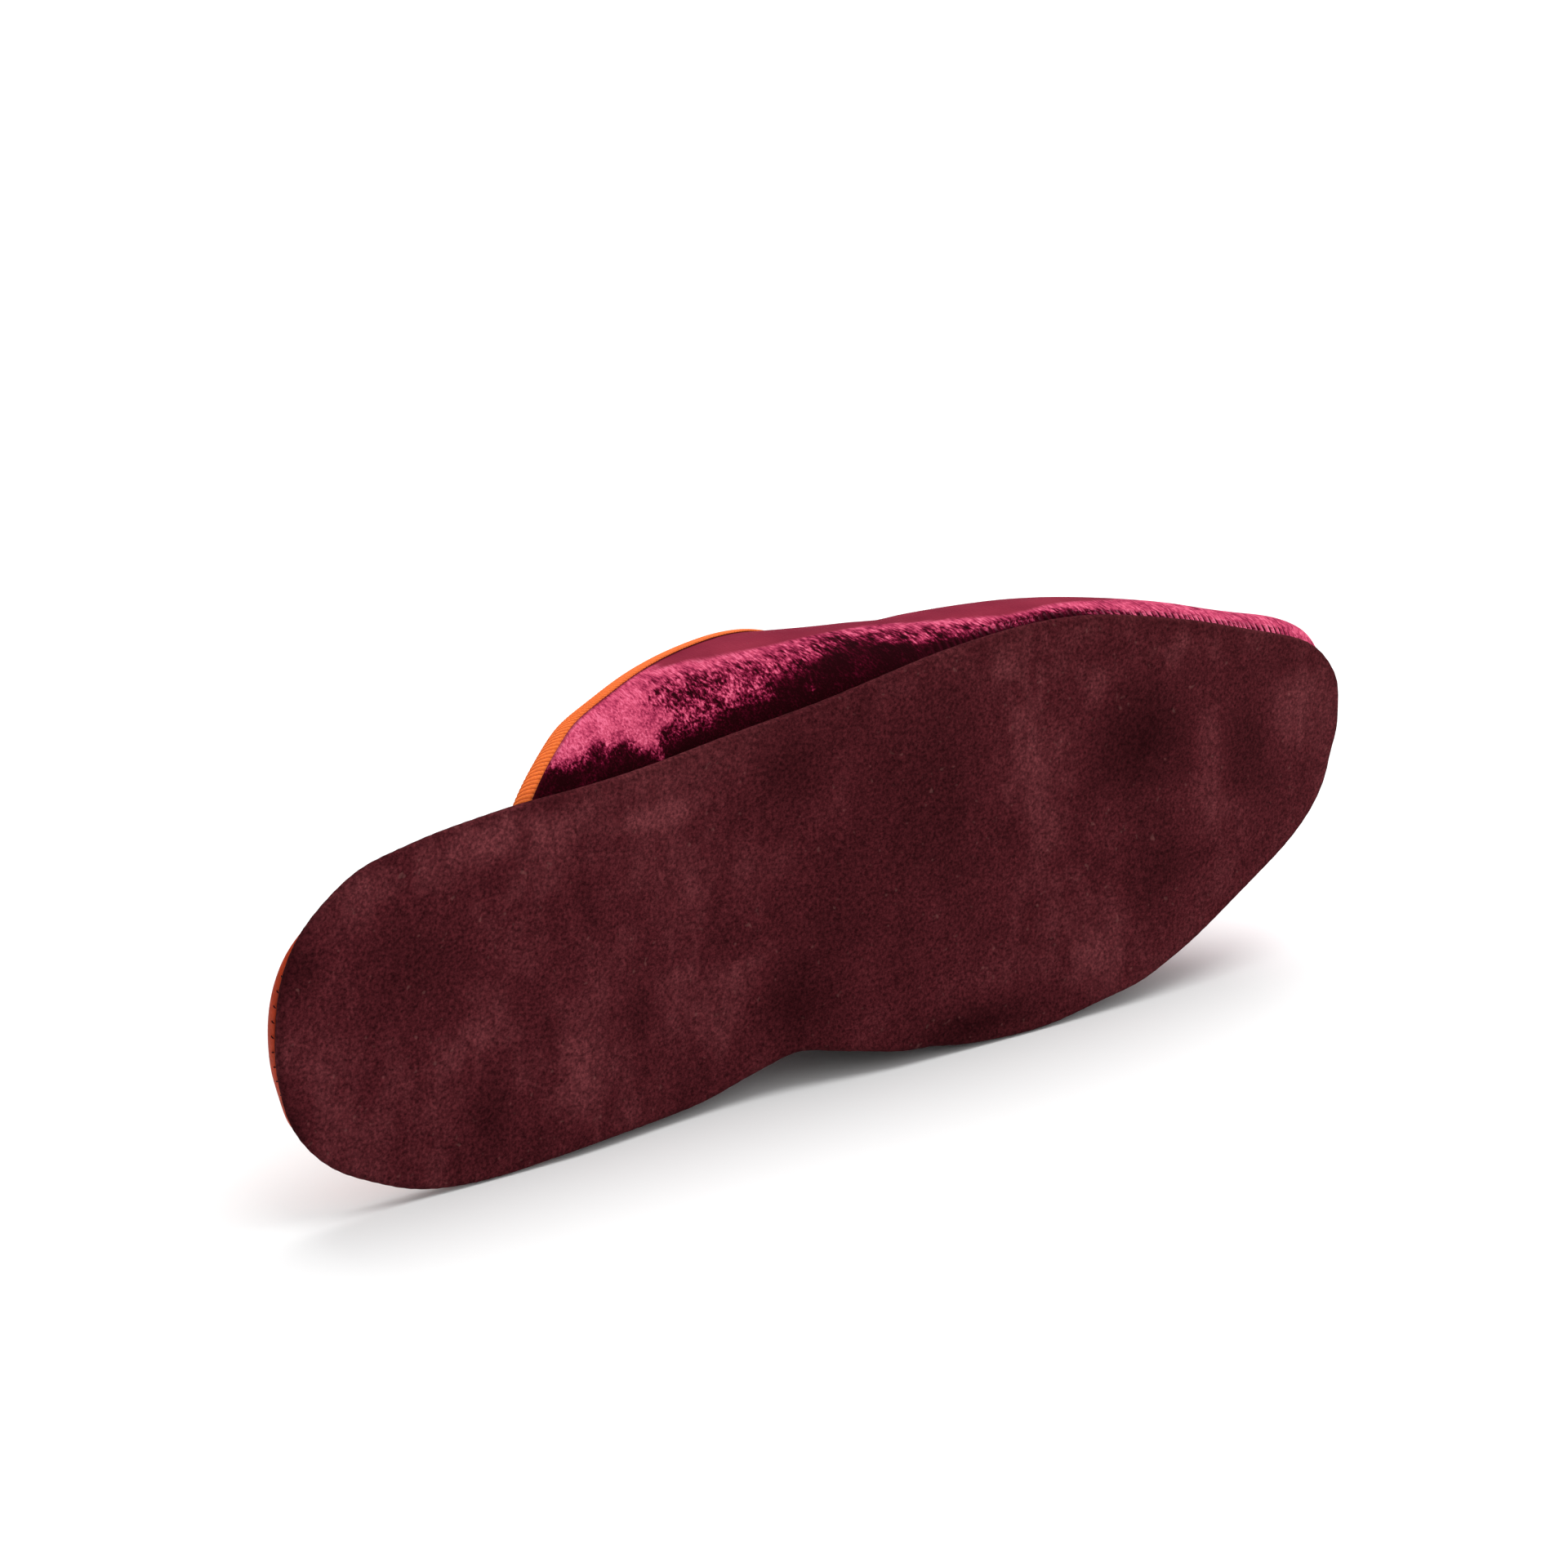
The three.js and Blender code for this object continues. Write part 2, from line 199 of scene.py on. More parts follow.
# Brushed nap of the suede: middle of each stroke along and across the sole, its reach both ways and its tone
NAP_STROKES = [
    {"x": 50.0, "z": 66.0, "along": 13.0, "across": 3.5, "tone": 0.8},
    {"x": 25.0, "z": 62.0, "along": 12.0, "across": 3.5, "tone": 0.45},
    {"x": 84.0, "z": 62.5, "along": 9.0, "across": 1.8, "tone": 0.9},
    {"x": 56.0, "z": 56.0, "along": 6.0, "across": 6.0, "tone": 0.3},
    {"x": 40.0, "z": 28.0, "along": 6.0, "across": 5.0, "tone": 0.6},
    {"x": 13.0, "z": 28.0, "along": 5.0, "across": 9.0, "tone": 0.4},
    {"x": 64.0, "z": 17.0, "along": 9.0, "across": 8.0, "tone": 0.5},
    {"x": 92.0, "z": 42.0, "along": 5.0, "across": 18.0, "tone": 0.35},
    {"x": 104.0, "z": 28.0, "along": 8.0, "across": 4.0, "tone": 0.45},
    {"x": 97.0, "z": 14.0, "along": 4.0, "across": 9.0, "tone": 0.4},
    {"x": 169.0, "z": 62.0, "along": 8.0, "across": 16.0, "tone": 0.5},
    {"x": 165.0, "z": 77.0, "along": 6.0, "across": 4.0, "tone": 0.5},
    {"x": 188.0, "z": 70.0, "along": 4.0, "across": 4.0, "tone": 0.5},
    {"x": 209.0, "z": 74.0, "along": 8.0, "across": 3.0, "tone": 0.5},
    {"x": 217.0, "z": 47.0, "along": 3.5, "across": 15.0, "tone": 0.4},
    {"x": 220.0, "z": 34.0, "along": 7.0, "across": 5.0, "tone": 0.5},
    {"x": 243.0, "z": 54.0, "along": 9.0, "across": 8.0, "tone": 0.6},
    {"x": 187.0, "z": 14.0, "along": 6.0, "across": 6.0, "tone": 0.6},
    {"x": 199.0, "z": 56.0, "along": 12.0, "across": 11.0, "tone": -0.7},
    {"x": 229.0, "z": 49.0, "along": 8.0, "across": 12.0, "tone": -0.45},
    {"x": 115.0, "z": 18.0, "along": 8.0, "across": 9.0, "tone": -0.55},
    {"x": 158.0, "z": 5.0, "along": 18.0, "across": 5.0, "tone": -0.7},
    {"x": 205.0, "z": 28.0, "along": 8.0, "across": 8.0, "tone": -0.5},
    {"x": 148.0, "z": 60.0, "along": 10.0, "across": 14.0, "tone": -0.35},
    {"x": 113.0, "z": 65.0, "along": 7.0, "across": 7.0, "tone": -0.4},
    {"x": 7.0, "z": 50.0, "along": 5.0, "across": 5.0, "tone": -0.6},
    {"x": 4.0, "z": 20.0, "along": 4.0, "across": 6.0, "tone": -0.6},
    {"x": 30.0, "z": 47.0, "along": 10.0, "across": 10.0, "tone": -0.35},
    {"x": 45.0, "z": 13.0, "along": 5.0, "across": 8.0, "tone": -0.5},
    {"x": 79.0, "z": 25.0, "along": 4.0, "across": 6.0, "tone": -0.4},
    {"x": 135.0, "z": 38.0, "along": 28.0, "across": 30.0, "tone": -0.22},
]

# Hand-cut edge of the sole: cuts along the outline, run from the heel end (inner side above zero), reach and
# depth; a negative depth is leather left standing
EDGE_CUTS = [
    {"run": -284.0, "reach": 6.5, "depth": 1.2},
    {"run": -248.0, "reach": 16.0, "depth": 0.6},
    {"run": -220.0, "reach": 6.0, "depth": -0.4},
    {"run": -207.0, "reach": 9.0, "depth": 0.45},
    {"run": -166.0, "reach": 5.0, "depth": 0.65},
    {"run": -135.0, "reach": 6.0, "depth": 1.05},
    {"run": -115.0, "reach": 7.0, "depth": -0.45},
    {"run": -90.0, "reach": 15.0, "depth": 0.65},
    {"run": -38.0, "reach": 7.0, "depth": 0.45},
    {"run": -20.0, "reach": 6.0, "depth": 0.15},
    {"run": -10.0, "reach": 6.0, "depth": 0.5},
    {"run": 4.0, "reach": 17.0, "depth": 2.1},
    {"run": 38.0, "reach": 7.0, "depth": -0.75},
    {"run": 62.0, "reach": 10.0, "depth": 0.35},
    {"run": 283.0, "reach": 6.0, "depth": -0.6},
]
EDGE_NIBBLE = {"length": 5.3, "swell": 1.0, "depth": 0.07}
EDGE_TOE_FADE = 10.0

# Grosgrain ribbon: pitch, rise and fullness of its ribs, and how flush and how sharply it dips at the ridge
RIB_PITCH = 1.0
RIB_RISE = 0.26
RIB_FULLNESS = 0.6
RIDGE_FLUSH = 0.95
RIDGE_POWER = 8

# Whip stitches sunk into the joint of sole and insole behind the collar
STITCH_PITCH = 3.0
STITCH_LOW = 1.7
STITCH_HIGH = 2.7
STITCH_THICK = 0.15
STITCH_TIP = 0.25
STITCH_SLANT = 0.3
STITCH_ARCH = 0.1

# Colours, as linear red, green and blue; tones run from dark to light, each with its place on its ramp
# Velvet tones from its painted shade through crushed tones to its painted sheen
VELVET_SHADE_TO_SHEEN_TONES = [
    (0.00, (0.011, 0.0004, 0.0014)),
    (0.22, (0.033, 0.0007, 0.0046)),
    (0.45, (0.108, 0.0034, 0.0190)),
    (0.68, (0.290, 0.0240, 0.0680)),
    (0.88, (0.500, 0.0640, 0.1300)),
    (1.00, (0.620, 0.1150, 0.2050)),
]
# Painted grazing sheen of the pile high on the upper
GRAZING_SHEEN_TONES = [(0.30, (0.160, 0.0130, 0.0290)), (0.70, (0.215, 0.0200, 0.0400))]
# Painted highlight on the tufts' tops
TUFT_HIGHLIGHT = (0.72, 0.17, 0.28)
# Painted shade in the gaps between the tufts
TUFT_GAP_SHADE = (0.035, 0.0015, 0.006)
# Painted shade on the velvet under the ribbon's edge
COLLAR_SHADE = (0.045, 0.003, 0.008)
VELVET_IN_SHADE = (0.02, 0.001, 0.003)
SUEDE_TONES = [
    (0.20, (0.021, 0.0026, 0.0039)),
    (0.50, (0.056, 0.0084, 0.0115)),
    (0.80, (0.108, 0.0225, 0.0272)),
]
SUEDE_GRAIN = [(0.32, (0.40, 0.36, 0.38)), (0.5, (1.0, 1.0, 1.0)), (0.68, (1.8, 1.9, 1.8))]
SUEDE_LINT = (0.26, 0.11, 0.10)
# Painted shade along the sole's edges
SUEDE_EDGE_SHADE = (0.016, 0.0022, 0.0034)
INSOLE_TONES = [(0.3, (0.39, 0.032, 0.006)), (0.7, (0.49, 0.047, 0.010))]
LINING_TONES = [(0.3, (0.24, 0.042, 0.016)), (0.7, (0.32, 0.060, 0.023))]
LEATHER_WEAR = [(0.35, (0.86, 0.84, 0.84)), (0.65, (1.1, 1.1, 1.1))]
# Ribbon tones by rib height: painted shade in the valleys between the ribs, the ribbon's orange on their
# tops
RIBBON_VALLEY_SHADE_TONES = [
    (0.15, (0.20, 0.018, 0.002)),
    (0.55, (0.60, 0.100, 0.010)),
    (1.00, (0.76, 0.155, 0.026)),
]
RIBBON_WEAVE = [(0.3, (0.84, 0.82, 0.82)), (0.7, (1.12, 1.12, 1.12))]
THREAD_TONES = [(0.3, (0.014, 0.002, 0.003)), (0.7, (0.045, 0.008, 0.010))]
FLOOR_COLOUR = (0.82, 0.82, 0.82)

# Stage, in metres and watts
FLOOR_HALF_WIDTH = 8.0
OVERHEAD_SOFTBOX = {"place": (0.9, 0.25, 2.5), "aim": (0.9, 0.25, 0.0), "size": (3.0, 3.0), "power": 97.0}
FRONT_FILL = {"place": (0.3, -1.5, 0.9), "aim": (0.0, 0.0, 0.05), "size": (1.2, 1.2), "power": 1.0}
SURROUND = {"strength": 0.58, "lean": (0.42, -0.36, 0.0)}

# Relief of the finishes, in metres
PILE_RELIEF = 0.0003
NAP_RELIEF = 0.0003
LEATHER_RELIEF = 0.0003
THREAD_RELIEF = 0.0002

# Facets of the dressed pieces, how many rows close an end, and steps of the measured lines
UPPER_ALONG = 880
UPPER_AROUND = 54
TURN_EASE = {"outer": 0.5, "inner": 1.3, "steps": 2000}
PLATE_ALONG = 236
PLATE_AROUND = 120
EDGE_SHARE = 0.08
RIB_FACETS = 8
STITCH_ALONG = 8
STITCH_AROUND = 6
END_FACETS = 1.5
SEAM_STEPS = 2000
OUTLINE_STEPS = 1500
FOLD_STEPS = 1500
NORMAL_STEP = 1e-3
MERGE_DISTANCE = 2e-6
MM = 0.001

# Where the heel end of the tread lies in the shared frame
sole_low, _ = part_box("outsole")
HEEL_X = sole_low[0]
TREAD_Y = sole_low[1]


def placed(x, y, z):
    """Millimetres from the heel end of the tread, as metres in the shared frame."""
    return np.stack([x * MM + HEEL_X, y * MM + TREAD_Y, z * MM], axis=-1)


def aim_camera():
    swing, lift = math.radians(CAMERA_SWING), math.radians(CAMERA_HEIGHT)
    back = Vector((-math.sin(swing) * math.cos(lift), -math.cos(swing) * math.cos(lift), math.sin(lift)))
    aim = Vector(placed(*[np.array(CAMERA_AIM[axis]) for axis in "xyz"]))
    data = bpy.data.cameras.new("photo_camera")
    data.lens = CAMERA_LENS
    data.clip_end = CAMERA_REACH
    camera = bpy.data.objects.new("photo_camera", data)
    bpy.context.scene.collection.objects.link(camera)
    camera.location = aim + back * (CAMERA_DISTANCE * MM)
    camera.rotation_euler = back.to_track_quat("Z", "Y").to_euler()
    bpy.context.scene.camera = camera


aim_camera()


def curve_of(rows, column):
    """One column of a short table as a smooth curve over the stations."""
    knots = np.array([row["station"] for row in rows])
    values = np.array([row[column] for row in rows])
    last = len(knots) - 1

    def at(station):
        station = np.clip(station, knots[0], knots[-1])
        right = np.clip(np.searchsorted(knots, station, side="right"), 1, last)
        left = right - 1
        first, final = left == 0, right == last
        span = knots[right] - knots[left]
        before = np.where(first, right, left - 1)
        after = np.where(final, left, np.minimum(right + 1, last))
        pull_before = np.where(first, -0.5, 0.5 * span / np.where(first, 1, knots[left] - knots[before]))
        pull_after = np.where(final, -0.5, 0.5 * span / np.where(final, 1, knots[after] - knots[right]))
        way = (station - knots[left]) / span
        square, cube = way ** 2, way ** 3
        share_before = pull_before * (-cube + 2 * square - way)
        share_left = (1 + pull_before) * cube - (1.5 + 2 * pull_before) * square
        share_left = share_left - (0.5 - pull_before) * way + 1
        share_right = -(1 + pull_after) * cube + (1.5 + pull_after) * square + 0.5 * way
        share_after = pull_after * (cube - square)
        return (share_before * values[before] + share_left * values[left]
                + share_right * values[right] + share_after * values[after])
    return at


sole_centre, sole_half = curve_of(SOLE_ROWS, "centre"), curve_of(SOLE_ROWS, "half")
upper_ridge, upper_shift = curve_of(UPPER_ROWS, "ridge"), curve_of(UPPER_ROWS, "shift")
upper_inner, upper_outer = curve_of(UPPER_ROWS, "inner"), curve_of(UPPER_ROWS, "outer")
pile_dark, pile_crushed = curve_of(PILE_ROWS, "dark"), curve_of(PILE_ROWS, "crushed")
pile_bright = curve_of(PILE_ROWS, "bright")


def soft_step(value, low, high):
    share = np.clip((value - low) / (high - low), 0, 1)
    return share * share * (3 - 2 * share)


def rounded_end(distance, reach):
    rest = np.clip(1 - distance / reach, 0, 1)
    return (1 - rest ** ROUND_POWER) ** (1 / ROUND_POWER)


def tread_height(x):
    station = x / SOLE_LENGTH
    arch = np.maximum(0, 1 - ((station - ARCH_STATION) / ARCH_REACH) ** 2) ** 2
    spring = np.maximum(0, (station - SPRING_STATION) / (1 - SPRING_STATION)) ** 2
    return ARCH_RISE * arch + TOE_SPRING * spring


def outline_at(angle):
    """Sole outline in plan: heel at 0, inner side up to the toe at pi, outer side below zero."""
    x = SOLE_LENGTH / 2 * (1 - np.cos(angle))
    station = x / SOLE_LENGTH
    width = sole_half(station) * rounded_end(x, HEEL_ROUND) * rounded_end(SOLE_LENGTH - x, TOE_ROUND)
    return x, sole_centre(station) + width * np.sign(np.sin(angle))


def rim_at(station, side, inset):
    """Outline moved inwards, and its outward normal; side is 1 for the inner side, -1 for the outer."""
    angle = side * np.arccos(np.clip(1 - 2 * station, -1, 1))
    x, z = outline_at(angle)
    x_before, z_before = outline_at(angle - NORMAL_STEP)
    x_after, z_after = outline_at(angle + NORMAL_STEP)
    length = np.hypot(x_after - x_before, z_after - z_before)
    normal_x, normal_z = (z_before - z_after) / length, (x_after - x_before) / length
    return x - inset * normal_x, z - inset * normal_z, normal_x, normal_z


def last_at(station, turn, offset):
    """The last: x, y, z and height over the seam, from the outer seam over the ridge to the inner one."""
    outer_x, outer_z, outer_nx, outer_nz = rim_at(station, -1, SEAM_INSET - offset)
    inner_x, inner_z, inner_nx, inner_nz = rim_at(station, 1, SEAM_INSET - offset)
    across = np.sign(np.cos(turn)) * np.abs(np.cos(turn)) ** (2 / SECTION_POWER)
    rise = np.abs(np.sin(turn)) ** (2 / SECTION_POWER)
    nose = np.clip((station - NOSE_STATION) / (1 - NOSE_STATION), 0, 1)
    height = (upper_ridge(station) + offset) * (1 - nose ** NOSE_POWER) ** (1 / NOSE_POWER) * rise
    share = (1 - across) / 2
    tuck = (1 - np.exp(-height / TUCK_HEIGHT)) * (1 - nose ** NOSE_FADE)
    outer_bulge = upper_outer(station) * tuck * (1 - share)
    inner_bulge = upper_inner(station) * tuck * share
    x = outer_x + (inner_x - outer_x) * share + outer_bulge * outer_nx + inner_bulge * inner_nx
    z = outer_z + (inner_z - outer_z) * share + outer_bulge * outer_nz + inner_bulge * inner_nz
    z = z + upper_shift(station) * rise * (1 - nose ** 2)
    z = np.maximum(z, np.maximum(0, -offset))
    return x, tread_height(x) + SOLE_THICK + GAP + height, z, height


collar_chord = COLLAR_THROAT - COLLAR_START
collar_half = np.hypot(*collar_chord) / 2
collar_radius = (collar_half ** 2 + COLLAR_BOW ** 2) / (2 * COLLAR_BOW)
collar_facing = np.array([collar_chord[1], -collar_chord[0]]) / (2 * collar_half)
collar_centre = (COLLAR_START + COLLAR_THROAT) / 2 + collar_facing * (collar_radius - COLLAR_BOW)


def past_collar(x, y):
    """How far a place lies forward of the collar arc and its bumps."""
    forward = collar_radius - np.hypot(x - collar_centre[0], y - collar_centre[1])
    for bump in COLLAR_BUMPS:
        forward = forward + bump["depth"] * np.exp(-((y - bump["y"]) / bump["reach"]) ** 2)
    return forward


def collar_station(turn, reach):
    """Station where the last meets the collar arc moved forward by a reach."""
    rear = np.full(np.broadcast(turn, reach).shape, COLLAR_SEARCH["rear"])
    front = np.full(rear.shape, COLLAR_SEARCH["front"])
    for _ in range(COLLAR_SEARCH["halvings"]):
        middle = (rear + front) / 2
        x, y, _, _ = last_at(middle, turn, 0.0)
        behind = past_collar(x, y) < reach
        rear = np.where(behind, middle, rear)
        front = np.where(behind, front, middle)
    return front


ease_shares = np.linspace(0, 1, TURN_EASE["steps"])
ease_density = ease_shares ** TURN_EASE["outer"] * (1 - ease_shares) ** TURN_EASE["inner"]
ease_turns = np.pi * np.cumsum(ease_density) / np.sum(ease_density)


def eased_turn(share):
    """Turn over the last, closely spaced at the seams."""
    return np.interp(share, ease_shares, ease_turns)


def lengths_along(*axes):
    steps = np.sqrt(sum(np.diff(axis) ** 2 for axis in axes))
    return np.concatenate([[0.0], np.cumsum(steps)])


# Skins: a flat grid bent onto a function of the slipper, its meeting edges merged
def bent_grid(shape, along, around, place):
    count = len(bmesh.ops.create_grid(shape, x_segments=along, y_segments=around, size=0.5)["verts"])
    flat = np.array([vert.co[:2] for vert in list(shape.verts)[-count:]]) + 0.5
    points, attributes = place(flat[:, 0], flat[:, 1])
    layers = shape.verts.layers.float
    columns = [(layers.get(key) or layers.new(key), values.tolist()) for key, values in attributes.items()]
    for i, (vert, point) in enumerate(zip(list(shape.verts)[-count:], points.tolist())):
        vert.co = point
        for layer, values in columns:
            vert[layer] = values[i]


def finished_piece(name, shape, materials):
    bmesh.ops.remove_doubles(shape, verts=shape.verts, dist=MERGE_DISTANCE)
    bmesh.ops.dissolve_degenerate(shape, edges=shape.edges, dist=MERGE_DISTANCE)
    bmesh.ops.recalc_face_normals(shape, faces=shape.faces)
    inside = shape.verts.layers.float.get("inside")
    for face in shape.faces:
        face.smooth = True
        if inside:
            face.material_index = int(all(vert[inside] > 0.5 for vert in face.verts))
    mesh = bpy.data.meshes.new(name)
    shape.to_mesh(mesh)
    shape.free()
    for material in materials:
        mesh.materials.append(material)
    piece = bpy.data.objects.new(name, mesh)
    bpy.context.scene.collection.objects.link(piece)
    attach(piece, "root")
    return piece


def skin(name, along, around, place, materials):
    shape = bmesh.new()
    bent_grid(shape, along, around, place)
    return finished_piece(name, shape, materials)


# Velvet upper
seam_stations = np.linspace(0.0, 1.0, SEAM_STEPS)
seam_x, seam_z, _, _ = rim_at(seam_stations, 1, SEAM_INSET)
seam_runs = lengths_along(seam_x, seam_z)


def trough_depth(x, height):
    depth = np.zeros_like(x)
    for trough in VELVET_TROUGHS:
        line = trough["x"] - trough["lean"] * (height - trough["low"])
        across = np.exp(-((x - line) / trough["reach"]) ** 2)
        rising = soft_step(height, trough["low"] - TROUGH_FADE, trough["low"] + TROUGH_FADE)
        ending = 1 - soft_step(height, trough["high"] - TROUGH_FADE, trough["high"] + TROUGH_FADE)
        depth = depth + trough["depth"] * across * rising * ending
    return depth


def painted_pile_light(x, station, height):
    """0 for the pile's painted shade, a half where it is crushed and mottled, 1 for its painted sheen."""
    station = station + PILE_STRAY["station"] * np.sin(PILE_STRAY["along"] * x + PILE_STRAY["up"] * height)
    dark = np.maximum(pile_dark(station), PILE_LOWEST)
    crushed = np.maximum(pile_crushed(station), PILE_LOWEST)
    low, high = PILE_SOFTNESS["from"], PILE_SOFTNESS["to"]
    sheen_and_shade = 0.5 * soft_step(height / dark, low, high) + 0.5 * soft_step(height / crushed, low, high)
    for patch in PILE_PATCHES:
        distance = ((x - patch["x"]) / patch["along"]) ** 2 + ((height - patch["height"]) / patch["up"]) ** 2
        sheen_and_shade = sheen_and_shade + patch["tone"] * np.exp(-distance)
    return np.clip(sheen_and_shade, 0, 1)


def gather_at(run, x, height):
    """Above zero on a tuft of the toe seam, below zero in the gap between two."""
    place = run - GATHER_LEAN * height
    place = place + GATHER_STRAY["reach"] * np.sin(place / GATHER_STRAY["length"])
    entering = soft_step(x, GATHER_ZONE["from"], GATHER_ZONE["full"])
    leaving = 1 - soft_step(x, GATHER_ZONE["last"], GATHER_ZONE["to"])
    rising = 1 - soft_step(height, GATHER_HEIGHT["full"], GATHER_HEIGHT["gone"])
    return np.cos(2 * np.pi * place / GATHER_PITCH) * entering * leaving * rising


def velvet_place(along, around):
    """Velvet outside on the first half of the way round, lining inside on the second."""
    inside = around > 0.5
    row_step = 1.0 / (2 * UPPER_AROUND + 1)
    share = np.where(inside, 1 - around, around) / (0.5 - row_step / 2)
    turn = eased_turn(np.clip(share, 0, 1))
    start = collar_station(turn, np.zeros_like(turn))
    lip = END_FACETS / UPPER_ALONG
    station = start + (1 - start) * np.sin(np.pi / 2 * np.clip((along - lip) / (1 - lip), 0, 1))
    offset = np.where(inside, -WALL, 0.0)
    offset = np.where(along < lip / 2, -WALL / 2, offset)
    x, y, z, height = last_at(station, turn, offset)
    run = np.interp(station, seam_stations, seam_runs)
    gather = gather_at(run, x, height)
    press = np.where(inside, 0.0, GATHER_RISE * gather - trough_depth(x, height))
    x, y, z, height = last_at(station, turn, offset + press)
    # Painted grazing sheen above the bright height
    bright = pile_bright(station)
    soft = GRAZING_SHEEN_SOFTNESS + GRAZING_SHEEN_TOE["softness"] * soft_step(station, GRAZING_SHEEN_TOE["from"], GRAZING_SHEEN_TOE["to"])
    # Painted shade and sheen of the pile, by height over the seam
    sheen_and_shade = painted_pile_light(x, station, height)
    attributes = {
        "sheen_and_shade": sheen_and_shade,
        "mottle": 4 * sheen_and_shade * (1 - sheen_and_shade),
        "grazing_sheen": soft_step(height, bright - soft, bright + soft),
        "gather": 0.5 + 0.5 * gather,
        "collar": past_collar(x, y),
        "floor": 1 - soft_step(z, FLOOR_SHADE["full"], FLOOR_SHADE["gone"]),
        "inside": np.where(inside, 1.0, 0.0),
    }
    return placed(x, y, z), attributes


# Sole and insole
outline_angles = np.linspace(0, np.pi, OUTLINE_STEPS)
outline_runs = lengths_along(*outline_at(outline_angles))


def edge_wave(station, side):
    """How far the hand-cut edge lies inside the drawn outline."""
    run = side * np.interp(station, (1 - np.cos(outline_angles)) / 2, outline_runs)
    swell = np.sin(run / EDGE_NIBBLE["swell"])
    wave = EDGE_NIBBLE["depth"] * np.sin(2 * np.pi * run / EDGE_NIBBLE["length"]) * swell
    for cut in EDGE_CUTS:
        wave = wave + cut["depth"] * np.exp(-((run - cut["run"]) / cut["reach"]) ** 2)
    return wave * soft_step(outline_runs[-1] - np.abs(run), 0.0, EDGE_TOE_FADE)


def nap_tone(x, z):
    """Above zero where the nap is brushed light, below zero where it is brushed dark."""
    tone = np.zeros_like(x)
    for stroke in NAP_STROKES:
        distance = ((x - stroke["x"]) / stroke["along"]) ** 2 + ((z - stroke["z"]) / stroke["across"]) ** 2
        tone = tone + stroke["tone"] * np.exp(-distance)
    return np.clip(tone, -1, 1)


def plate_place(rim_inset, under_roll, top_roll, lowest, edge, crown, wavy):
    """A plate along the sole: over the top on the first half of the way round, underneath on the second."""
    def place(along, around):
        station = (1 - np.cos(np.pi * along)) / 2
        way_in = station * SOLE_LENGTH
        under = around > 0.5
        way = np.where(under, 2 * around - 1, 2 * around)
        across = np.clip((way - EDGE_SHARE) / (1 - 2 * EDGE_SHARE), 0, 1) * 2 - 1
        across = np.where(under, -across, across)
        bend = np.maximum(EDGE_SHARE - way, way - 1 + EDGE_SHARE) / EDGE_SHARE
        quarter = np.clip(bend, 0, 1) * np.pi / 2
        rolled = np.where(under, under_roll, top_roll) * (1 - np.sin(quarter))
        outer_inset = rolled + rim_inset(way_in, -1) + wavy * edge_wave(station, -1)
        inner_inset = rolled + rim_inset(way_in, 1) + wavy * edge_wave(station, 1)
        outer_x, outer_z, _, _ = rim_at(station, -1, outer_inset)
        inner_x, inner_z, _, _ = rim_at(station, 1, inner_inset)
        share = (1 + across) / 2
        x = outer_x + (inner_x - outer_x) * share
        z = outer_z + (inner_z - outer_z) * share
        level = edge / 2 * (1 + np.where(under, -1, 1) * np.cos(quarter))
        narrowing = rounded_end(way_in, HEEL_ROUND) * rounded_end(SOLE_LENGTH - way_in, TOE_ROUND)
        dome = np.where(under, 0.0, crown * narrowing * (1 - across ** 2))
        attributes = {"rim_gap": (1 - np.abs(across)) * sole_half(station), "nap": nap_tone(x, z)}
        return placed(x, tread_height(x) + lowest + level + dome, np.maximum(z, 0)), attributes
    return place


def no_inset(x, side):
    return np.zeros_like(x)


def insole_inset(x, side):
    wall = SEAM_INSET + WALL + GAP
    ribbon = wall + GAP + RIBBON_THICK
    enter = soft_step(x, RIBBON_ZONE["from"], RIBBON_ZONE["full"])
    leave = soft_step(x, RIBBON_ZONE["last"], RIBBON_ZONE["to"])
    turned = soft_step(x, INSOLE_TURN["from"], INSOLE_TURN["to"])
    rear = INSOLE_REAR_INSET + (INSOLE_SIDE_INSET - INSOLE_REAR_INSET) * turned
    if side < 0:
        drawn = soft_step(x, INSOLE_OUTER_TURN["from"], INSOLE_OUTER_TURN["full"])
        back = soft_step(x, INSOLE_OUTER_TURN["last"], INSOLE_OUTER_TURN["to"])
        rear = INSOLE_REAR_INSET + (INSOLE_OUTER_INSET - INSOLE_REAR_INSET) * drawn
        rear = rear + (INSOLE_SIDE_INSET - INSOLE_OUTER_INSET) * back
    return rear + (ribbon - rear) * enter - (ribbon - wall) * leave


